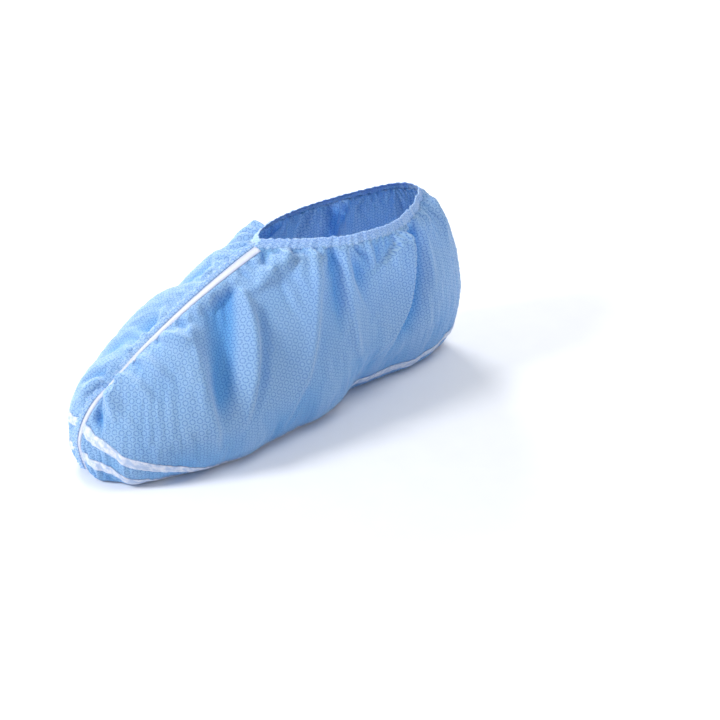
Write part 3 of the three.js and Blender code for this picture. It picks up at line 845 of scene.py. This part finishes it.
def build_tread(name, side, inward, points, face):
    """One printed stripe of the sole, from toe to heel."""
    part = slice(COLUMNS, None) if side == 1 else slice(COLUMNS, None, -1)
    columns = points[part]
    along = column_places()
    middle = look_up(TREAD_LINE, "along", "outer", along) - inward
    lines = [girth_rail(columns, middle + TREAD_WIDTH * (0.5 - share)) for share in TREAD["across"]]
    rails = np.stack(lines, 1)[TREAD["first_column"]:-TREAD["last_columns"]]
    centre = rails[:, len(TREAD["across"]) // 2]
    _, at = even_path(centre, 1.0)
    run = np.concatenate([[0], np.cumsum(np.linalg.norm(np.diff(centre, axis=0), axis=1))])
    even = np.stack([[np.interp(at, run, rails[:, j, k]) for k in range(3)]
                     for j in range(rails.shape[1])]).transpose(2, 0, 1)
    return lay_strip(name, face, at, even, TREAD["thickness"], TREAD["lift"])


def build_hem():
    """The cloth folded over its elastic, crimped all the way round the ankle opening."""
    path, at = even_path(rim_path(RIM), 0.45)
    along = np.linspace(NOTCH, 1, 400)
    head_plus = opening_loop(HEM, along, 1)
    head_minus = opening_loop(HEM, along, -1) * (-1, 1, 1)
    head = np.concatenate([head_plus, head_minus[-2::-1]])
    share = np.linspace(0, 1, len(path))
    lengths = np.concatenate([[0], np.cumsum(np.linalg.norm(np.diff(head, axis=0), axis=1))])
    head = np.stack([np.interp(share * lengths[-1], lengths, head[:, k]) for k in range(3)], -1)
    path, head, at = path[:-1], head[:-1], at[:-1]
    across = outwards(path)
    foot = pleat_lift(RIM_PLEATS, at, 0.0)
    pace = RIM_LENGTH / HEM_CRIMPS
    crest = 0.55 * foot + 0.07 * np.sin(2 * np.pi * at / pace)
    rise = 0.22 * np.sin(4 * np.pi * at / pace / 3 + 1.0) - 0.22 * foot
    sections = []
    turns = np.linspace(0, 2 * np.pi, 18, endpoint=False)
    for k in range(len(path)):
        up = head[k] - path[k]
        ring = []
        for t in turns:
            c, s = math.cos(t), math.sin(t)
            height = 0.5 + 0.5 * math.copysign(abs(s) ** 0.7, s)
            waist = 1 - 0.75 * math.exp(-(((height - 0.42) / 0.16) ** 2))
            width = math.copysign(abs(c) ** 0.8, c) * HEM_HALF * waist * (0.45 + 0.55 * height)
            sway = foot[k] * (1 - height) + crest[k] * height
            climb = HEM_LAP + (1 - HEM_LAP) * height
            raised = np.array([0, 0, rise[k] * height])
            ring.append(path[k] + up * climb + across[k] * (width + sway) + raised)
        sections.append(ring)
    return swept("gathered_hem", sections, at, closed=True)


def solid_cloth(obj):
    """Gives the sheet its thickness, inwards."""
    skin = obj.modifiers.new("thickness", "SOLIDIFY")
    skin.thickness = CLOTH_THICKNESS * MM
    skin.offset = -1
    skin.use_quality_normals = False
    bpy.context.view_layer.objects.active = obj
    obj.select_set(True)
    bpy.ops.object.modifier_apply(modifier=skin.name)
    obj.select_set(False)


# ---------------------------------------------------------------- materials

# The weld rings, in mm: from ring to ring, their radius, half their line's width, and how many
# points each has. Then the widths of fibre clumps, of cloudy areas, and of the coating's pits
# and thin patches
RING_PITCH = 4.6
RING_RADIUS = 1.55
RING_LINE = 0.66
RING_DOTS = 9.0
FIBRE_CLUMP = 0.625
CLOUD_WIDTH = 22.2222
PIT_WIDTH = 0.9091
PATCH_WIDTH = 4.5455

# The last colour of each table is painted shade: a darker, more saturated blue mixed in where the cloth
# lies in a valley and on its low sides
CLOTH_COLOURS = {"thin": "#7AA8DC", "full": "#8FB8E3", "fibre": "#DDE8F5", "ring": "#699DD8",
                 "shade_blue": "#4598D9"}
# The hem and the frill are the same cloth as the cover, given lighter colours as painted light
HEM_COLOURS_PAINTED_LIGHTER = {"thin": "#8DB4E3", "full": "#A6C5EB", "fibre": "#E0EAF7", "ring": "#84ADE1",
               "shade_blue": "#4A98D8"}


def srgb(code):
    """A colour from its sRGB hex code."""
    values = [int(code[k:k + 2], 16) / 255 for k in (1, 3, 5)]
    return [v / 12.92 if v <= 0.04045 else ((v + 0.055) / 1.055) ** 2.4 for v in values] + [1]


def add(tree, kind, inputs=None, **settings):
    """Adds a node with its settings and links. An input is a plain value, another node, whose
    first output is then used, or one of its other outputs."""
    node = tree.nodes.new("ShaderNode" + kind)
    for name, value in settings.items():
        setattr(node, name, value)
    for key, value in (inputs or {}).items():
        if isinstance(value, bpy.types.Node):
            value = value.outputs[0]
        if isinstance(value, bpy.types.NodeSocket):
            tree.links.new(value, node.inputs[key])
        else:
            node.inputs[key].default_value = value
    return node


def finish_of(name, roughness, sheen=0.0, sheen_roughness=0.5, specular=0.5):
    """A new material with its shader, ready for its nodes."""
    made = bpy.data.materials.new(name)
    made.use_nodes = True
    tree = made.node_tree
    tree.nodes.clear()
    shader = add(tree, "BsdfPrincipled")
    shader.inputs["Roughness"].default_value = roughness
    shader.inputs["Sheen Weight"].default_value = sheen
    shader.inputs["Sheen Roughness"].default_value = sheen_roughness
    shader.inputs["Specular IOR Level"].default_value = specular
    add(tree, "OutputMaterial", {"Surface": shader})
    return made, tree, shader


def finish_with(tree, shader, colour, roughness, height, strength, depth):
    """Joins a material's colour, roughness and relief, its depth in mm, to its shader."""
    tree.links.new(colour.outputs[2], shader.inputs["Base Color"])
    tree.links.new(roughness.outputs[0], shader.inputs["Roughness"])
    if height is not None:
        bump = add(tree, "Bump", {"Strength": strength, "Distance": depth * MM, "Height": height})
        tree.links.new(bump.outputs[0], shader.inputs["Normal"])


def weld_rings(tree, place):
    """How strongly a ring of weld points marks each place: rings stand at the corners and the
    middles of a tall cell, so that every ring has six neighbours."""
    cell = Vector((RING_PITCH, RING_PITCH * math.sqrt(3), 1))
    offsets = []
    for shift in (0.0, 0.5):
        scaled = add(tree, "VectorMath", {0: place, 1: cell}, operation="DIVIDE")
        moved = add(tree, "VectorMath", {0: scaled, 1: (shift, shift, 0)}, operation="ADD")
        part = add(tree, "VectorMath", {0: moved}, operation="FRACTION")
        middle = add(tree, "VectorMath", {0: part, 1: (0.5, 0.5, 0)}, operation="SUBTRACT")
        offset = add(tree, "VectorMath", {0: middle, 1: (cell.x, cell.y, 0)}, operation="MULTIPLY")
        length = add(tree, "VectorMath", {0: offset}, operation="LENGTH").outputs["Value"]
        offsets.append((offset, length))
    (first, near), (second, far) = offsets
    nearer = add(tree, "Math", {0: far, 1: near}, operation="LESS_THAN")
    offset = add(tree, "Mix", {"Factor": nearer, 4: first, 5: second}, data_type="VECTOR").outputs[1]
    distance = add(tree, "Math", {0: near, 1: far}, operation="MINIMUM")
    apart = add(tree, "SeparateXYZ", {0: offset})
    angle = add(tree, "Math", {0: apart.outputs["Y"], 1: apart.outputs["X"]}, operation="ARCTAN2")
    turns = add(tree, "Math", {0: angle, 1: RING_DOTS}, operation="MULTIPLY")
    beat = add(tree, "Math", {0: turns}, operation="COSINE")
    dots = add(tree, "Math", {0: beat, 1: 0.4, 2: 0.6}, operation="MULTIPLY_ADD")
    from_line = add(tree, "Math", {0: distance, 1: RING_RADIUS}, operation="SUBTRACT")
    off_line = add(tree, "Math", {0: from_line}, operation="ABSOLUTE")
    line = add(tree, "MapRange", {"Value": off_line, "From Min": RING_LINE, "From Max": 0.0},
               interpolation_type="SMOOTHSTEP")
    return add(tree, "Math", {0: line, 1: dots}, operation="MULTIPLY")


def nonwoven(name, colours, ring_depth=1.0):
    """Spunbond polypropylene, melted together in small rings of weld points. It looks matt and
    softly fuzzy, and the rings a little darker and glossier, with the cloth between them puffed
    up. Its fibres, 0.02 mm thick, are drawn as clumps about 0.6 mm wide so that they show.
    Its colour is mixed towards a deeper blue as painted shade, where the mesh marks valleys and low
    sides."""
    made, tree, shader = finish_of(name, 0.72, sheen=0.25, sheen_roughness=0.4, specular=0.35)
    shader.inputs["Subsurface Weight"].default_value = 0.85
    shader.inputs["Subsurface Radius"].default_value = (1.0, 1.0, 1.0)
    shader.inputs["Subsurface Scale"].default_value = 1.2 * MM
    place = add(tree, "UVMap", uv_map="cut")
    ring = weld_rings(tree, place)
    fibres = add(tree, "TexNoise", {"Vector": place, "Scale": 1 / FIBRE_CLUMP, "Detail": 6.0,
                                    "Roughness": 0.7, "Distortion": 1.2})
    clouds = add(tree, "TexNoise", {"Vector": place, "Scale": 1 / CLOUD_WIDTH, "Detail": 3.0})
    base = add(tree, "Mix", {"Factor": clouds, 6: srgb(colours["thin"]), 7: srgb(colours["full"])},
               data_type="RGBA").outputs[2]
    fuzz = add(tree, "Math", {0: fibres, 1: 0.25}, operation="MULTIPLY")
    fuzzy = add(tree, "Mix", {"Factor": fuzz, 6: base, 7: srgb(colours["fibre"])},
                data_type="RGBA").outputs[2]
    # Painted shade: a deeper blue mixed in by the sheet's attribute, in the valleys and on the low
    # sides
    depth = add(tree, "Attribute", attribute_name="painted_shade").outputs["Fac"]
    painted_shade_share = add(tree, "MapRange", {"Value": depth, "From Min": -0.6, "From Max": 5.4, "To Max": 0.74},
               interpolation_type="SMOOTHSTEP")
    shaded = add(tree, "Mix", {"Factor": painted_shade_share, 6: fuzzy, 7: srgb(colours["shade_blue"])},
                 data_type="RGBA").outputs[2]
    mark = add(tree, "Math", {0: ring, 1: 0.95}, operation="MULTIPLY")
    pressed = add(tree, "Mix", {"Factor": mark, 6: shaded, 7: srgb(colours["ring"])},
                  data_type="RGBA", blend_type="MULTIPLY")
    rough = add(tree, "Math", {0: ring, 1: -0.22, 2: 0.74}, operation="MULTIPLY_ADD")
    sinking = add(tree, "Math", {0: ring, 1: -1.0 * ring_depth}, operation="MULTIPLY")
    height = add(tree, "Math", {0: fibres, 1: 0.25, 2: sinking}, operation="MULTIPLY_ADD")
    finish_with(tree, shader, pressed, rough, height, 0.5, 0.25)
    return made


def printed_rubber():
    """The non-skid coating, a latex print: off-white, slightly glossy where it is thick, and
    blue where it is so thin that the cloth shows through, with small pits."""
    made, tree, shader = finish_of("tread_coating", 0.5, specular=0.45)
    place = add(tree, "UVMap", uv_map="cut")
    pits = add(tree, "TexVoronoi", {"Vector": place, "Scale": 1 / PIT_WIDTH, "Randomness": 1.0})
    patches = add(tree, "TexNoise", {"Vector": place, "Scale": 1 / PATCH_WIDTH, "Detail": 5.0,
                                     "Roughness": 0.65})
    patches = add(tree, "MapRange", {"Value": patches, "From Min": 0.38, "From Max": 0.62},
                  interpolation_type="SMOOTHSTEP")
    colour = add(tree, "Mix", {"Factor": patches, 6: srgb("#ABBFE0"), 7: srgb("#DDE1EF")},
                 data_type="RGBA")
    rough = add(tree, "Math", {0: patches, 1: 0.3, 2: 0.36}, operation="MULTIPLY_ADD")
    finish_with(tree, shader, colour, rough, pits.outputs["Distance"], 0.4, 0.12)
    return made


def tape_cloth():
    """The seam tape, a tight woven polyester ribbon: white, a little shiny, with fine ribs."""
    made, tree, shader = finish_of("seam_tape_ribbon", 0.6, sheen=0.15, specular=0.4)
    place = add(tree, "UVMap", uv_map="cut")
    ribs = add(tree, "TexWave", {"Vector": place, "Scale": 0.55, "Distortion": 1.5, "Detail": 2.0})
    ribs = ribs.outputs[1]
    soiling = add(tree, "TexNoise", {"Vector": place, "Scale": 0.2, "Detail": 3.0})
    colour = add(tree, "Mix", {"Factor": soiling, 6: srgb("#C5CCE4"), 7: srgb("#E0E3F2")},
                 data_type="RGBA")
    rough = add(tree, "Math", {0: ribs, 1: 0.15, 2: 0.52}, operation="MULTIPLY_ADD")
    finish_with(tree, shader, colour, rough, ribs, 0.35, 0.1)
    return made


def sewing_thread(name, light, dark):
    """Twisted polyester sewing thread: slanting light and dark bands, slightly shiny."""
    made, tree, shader = finish_of(name, 0.6, sheen=0.2)
    place = add(tree, "UVMap", uv_map="cut")
    twist = add(tree, "TexWave", {"Vector": place, "Scale": 0.8, "Distortion": 0.5},
                bands_direction="DIAGONAL").outputs[1]
    colour = add(tree, "Mix", {"Factor": twist, 6: srgb(dark), 7: srgb(light)}, data_type="RGBA")
    rough = add(tree, "Math", {0: twist, 1: 0.1, 2: 0.55}, operation="MULTIPLY_ADD")
    finish_with(tree, shader, colour, rough, None, 0, 0)
    return made


# ---------------------------------------------------------------- the pieces

cloth_points, cloth_unfolded, cloth_painted_shade = folded_cloth()
outer_face = ClothFace(cloth_points)

cover_cloth = build_cloth(cloth_points, cloth_unfolded, cloth_painted_shade)
solid_cloth(cover_cloth)
cover_cloth.data.materials.append(nonwoven("cover_nonwoven", CLOTH_COLOURS))
gathered_hem = build_hem()
gathered_hem.data.materials.append(nonwoven("hem_nonwoven", HEM_COLOURS_PAINTED_LIGHTER, 0.7))
seam_tape_strip = build_tape(outer_face)
seam_tape_strip.data.materials.append(tape_cloth())
tape_stitching = build_tape_stitches(outer_face)
tape_stitching.data.materials.append(sewing_thread("tape_thread", "#E2E6F2", "#AFBBD6"))
seam_frill = build_frill(outer_face)
seam_frill.data.materials.append(nonwoven("frill_nonwoven", HEM_COLOURS_PAINTED_LIGHTER, 0.4))
tread_coating = printed_rubber()
treads = {}
for name, side, inward in (("outer_plus", 1, 0), ("inner_plus", 1, TREAD_SPACING),
                           ("outer_minus", -1, 0), ("inner_minus", -1, TREAD_SPACING)):
    band = build_tread("tread_band_" + name, side, inward, cloth_points, outer_face)
    band.data.materials.append(tread_coating)
    treads[name] = band

for piece, node, slot in (
    (cover_cloth, "cover_body", "cloth"),
    (gathered_hem, "opening_hem", "hem"),
    (seam_tape_strip, "seam_tape", "tape"),
    (seam_frill, "seam_ruffle", "ruffle"),
):
    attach(piece, "root")
    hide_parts(node)
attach(tape_stitching, "root")
for name, band in treads.items():
    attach(band, "root")
    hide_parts("tread_" + name)

# ---------------------------------------------------------------- floor, light and camera


# In metres, watts and, for the camera, degrees and millimetres
FLOOR_REACH = 4.0
LAMPS = {
    "key_light": {"place": (-0.35, -1.4, 1.1), "target": (0, 0, 0.05), "size": 0.5, "power": 22},
    "top_light": {"place": (0.55, 0.25, 1.6), "target": (0, 0, 0.05), "size": 0.7, "power": 8},
    "back_light": {"place": (-1.4, 0.4, 0.8), "target": (0, 0, 0.06), "size": 0.8, "power": 20},
}
AIR = {"colour": "#F3F6FC", "strength": 0.5}
CAMERA = {"turn": 52.029, "tilt": 30.247, "distance": 1012.776, "right": 55.264, "up": -25.72,
          "target_z": 60, "lens": 72.284, "sensor": 36}


def build_stage():
    """A wide plain floor of pale paper."""
    mesh = bpy.data.meshes.new("studio_floor")
    far = FLOOR_REACH
    corners = [(-far, -far, 0), (far, -far, 0), (far, far, 0), (-far, far, 0)]
    mesh.from_pydata(corners, [], [(0, 1, 2, 3)])
    floor = bpy.data.objects.new("studio_floor", mesh)
    bpy.context.scene.collection.objects.link(floor)
    made, tree, shader = finish_of("studio_paper", 0.9, specular=0.1)
    grain = add(tree, "TexNoise", {"Scale": 400.0})
    colour = add(tree, "Mix", {"Factor": grain, 6: srgb("#F4F5F8"), 7: srgb("#F8F9FB")},
                 data_type="RGBA").outputs[2]
    tree.links.new(colour, shader.inputs["Base Color"])
    floor.data.materials.append(made)
    bpy.context.scene.view_settings.view_transform = "Standard"


def area_light(name, place, target, size, power):
    """A round soft lamp that faces a target."""
    lamp = bpy.data.lights.new(name, "AREA")
    lamp.shape = "DISK"
    lamp.size = size
    lamp.energy = power
    obj = bpy.data.objects.new(name, lamp)
    obj.location = place
    obj.rotation_euler = (Vector(target) - Vector(place)).to_track_quat("-Z", "Y").to_euler()
    bpy.context.scene.collection.objects.link(obj)


def build_light():
    """The lamps, and the even light of the room."""
    for name, lamp in LAMPS.items():
        area_light(name, **lamp)
    world = bpy.data.worlds.new("studio_air")
    world.use_nodes = True
    background = world.node_tree.nodes["Background"]
    background.inputs["Color"].default_value = srgb(AIR["colour"])
    background.inputs["Strength"].default_value = AIR["strength"]
    bpy.context.scene.world = world


def build_camera():
    """A camera that looks down on the toe and the side."""
    turn, tilt = math.radians(CAMERA["turn"]), math.radians(CAMERA["tilt"])
    back = np.array([math.sin(turn) * math.cos(tilt), -math.cos(turn) * math.cos(tilt), math.sin(tilt)])
    right = np.array([math.cos(turn), math.sin(turn), 0])
    up = np.cross(back, right)
    eye = np.array([0, 0, CAMERA["target_z"]]) + back * CAMERA["distance"]
    eye = eye + right * CAMERA["right"] + up * CAMERA["up"]
    lens = bpy.data.cameras.new("main_view")
    lens.lens = CAMERA["lens"]
    lens.sensor_width = CAMERA["sensor"]
    obj = bpy.data.objects.new("main_view", lens)
    obj.location = to_frame(eye)
    obj.rotation_euler = (math.pi / 2 - tilt, 0, turn)
    bpy.context.scene.collection.objects.link(obj)
    bpy.context.scene.camera = obj


build_stage()
build_light()
build_camera()
